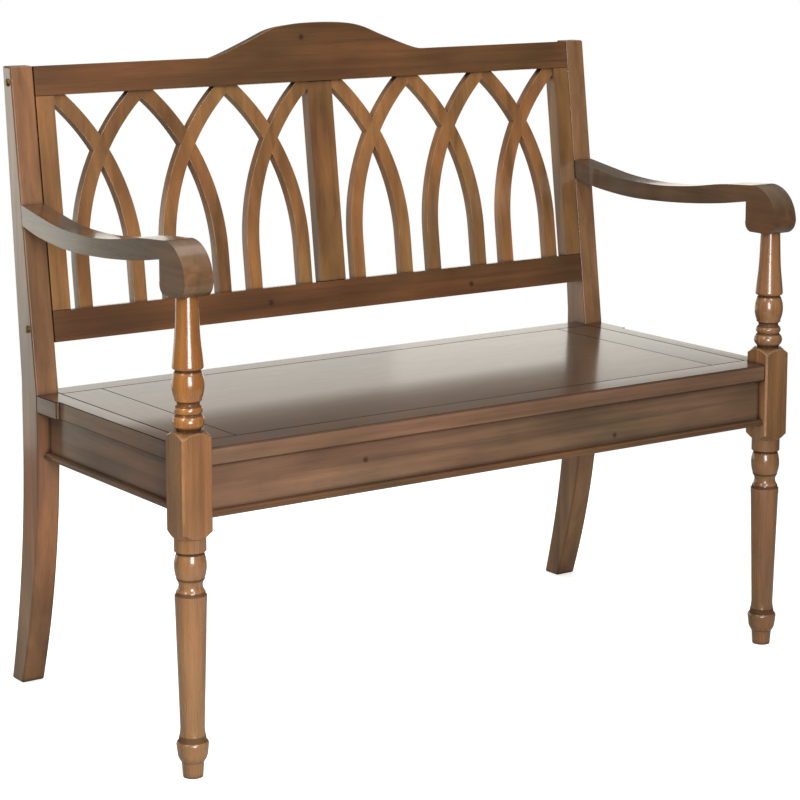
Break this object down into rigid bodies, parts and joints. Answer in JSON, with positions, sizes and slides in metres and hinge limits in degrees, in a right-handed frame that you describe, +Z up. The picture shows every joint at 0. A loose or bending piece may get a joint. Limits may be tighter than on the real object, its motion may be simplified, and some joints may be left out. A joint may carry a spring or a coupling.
{
  "type": "church pew",
  "caption": "Small wooden church pew with arms: turned front legs, sabre rear legs, framed seat boards and a leaning back of crossed lancet slats under a crested rail",
  "frame": {"origin": "middle of the footprint, on the floor", "axes": "+X along the seat to the sitter's left, +Y to the back, +Z up"},
  "size_m": [1.078, 0.5507, 0.9682],
  "materials": {
    "frame_wood": "semi-gloss lacquer over a dark walnut stain",
    "seat_wood": "glossy lacquer over a dark walnut stain",
    "lattice_wood": "semi-gloss lacquer over a mid walnut stain",
    "inner_wood": "bare, unstained",
    "steel": "bronzed steel"
  },
  "bodies": {
    "root": {"arm_dowels": "inner_wood", "arm_left": "frame_wood", "arm_right": "frame_wood", "back_bolts": "steel", "back_bottom_rail": "frame_wood", "back_muntin": "lattice_wood", "back_stile_left": "lattice_wood", "back_stile_right": "lattice_wood", "back_top_rail": "frame_wood", "corner_block_front_left": "inner_wood", "corner_block_front_right": "inner_wood", "corner_block_rear_left": "inner_wood", "corner_block_rear_right": "inner_wood", "corner_block_screws": "steel", "front_apron": "frame_wood", "front_bead": "frame_wood", "front_leg_left": "frame_wood", "front_leg_right": "frame_wood", "lattice_slat_1_falling": "lattice_wood", "lattice_slat_1_rising": "lattice_wood", "lattice_slat_2_falling": "lattice_wood", "lattice_slat_2_rising": "lattice_wood", "lattice_slat_3_falling": "lattice_wood", "lattice_slat_3_rising": "lattice_wood", "lattice_slat_4_falling": "lattice_wood", "lattice_slat_4_rising": "lattice_wood", "lattice_slat_5_falling": "lattice_wood", "lattice_slat_5_rising": "lattice_wood", "lattice_slat_6_falling": "lattice_wood", "lattice_slat_6_rising": "lattice_wood", "rear_apron": "frame_wood", "rear_leg_left": "frame_wood", "rear_leg_right": "frame_wood", "seat_batten_left": "inner_wood", "seat_batten_right": "inner_wood", "seat_centre_panel": "seat_wood", "seat_cleat_left": "seat_wood", "seat_cleat_right": "seat_wood", "seat_end_left": "seat_wood", "seat_end_right": "seat_wood", "seat_front_strip": "seat_wood", "seat_rear_strip": "seat_wood", "seat_screws": "steel", "side_apron_left": "frame_wood", "side_apron_right": "frame_wood", "side_bead_left": "frame_wood", "side_bead_right": "frame_wood"}
  },
  "joints": []
}
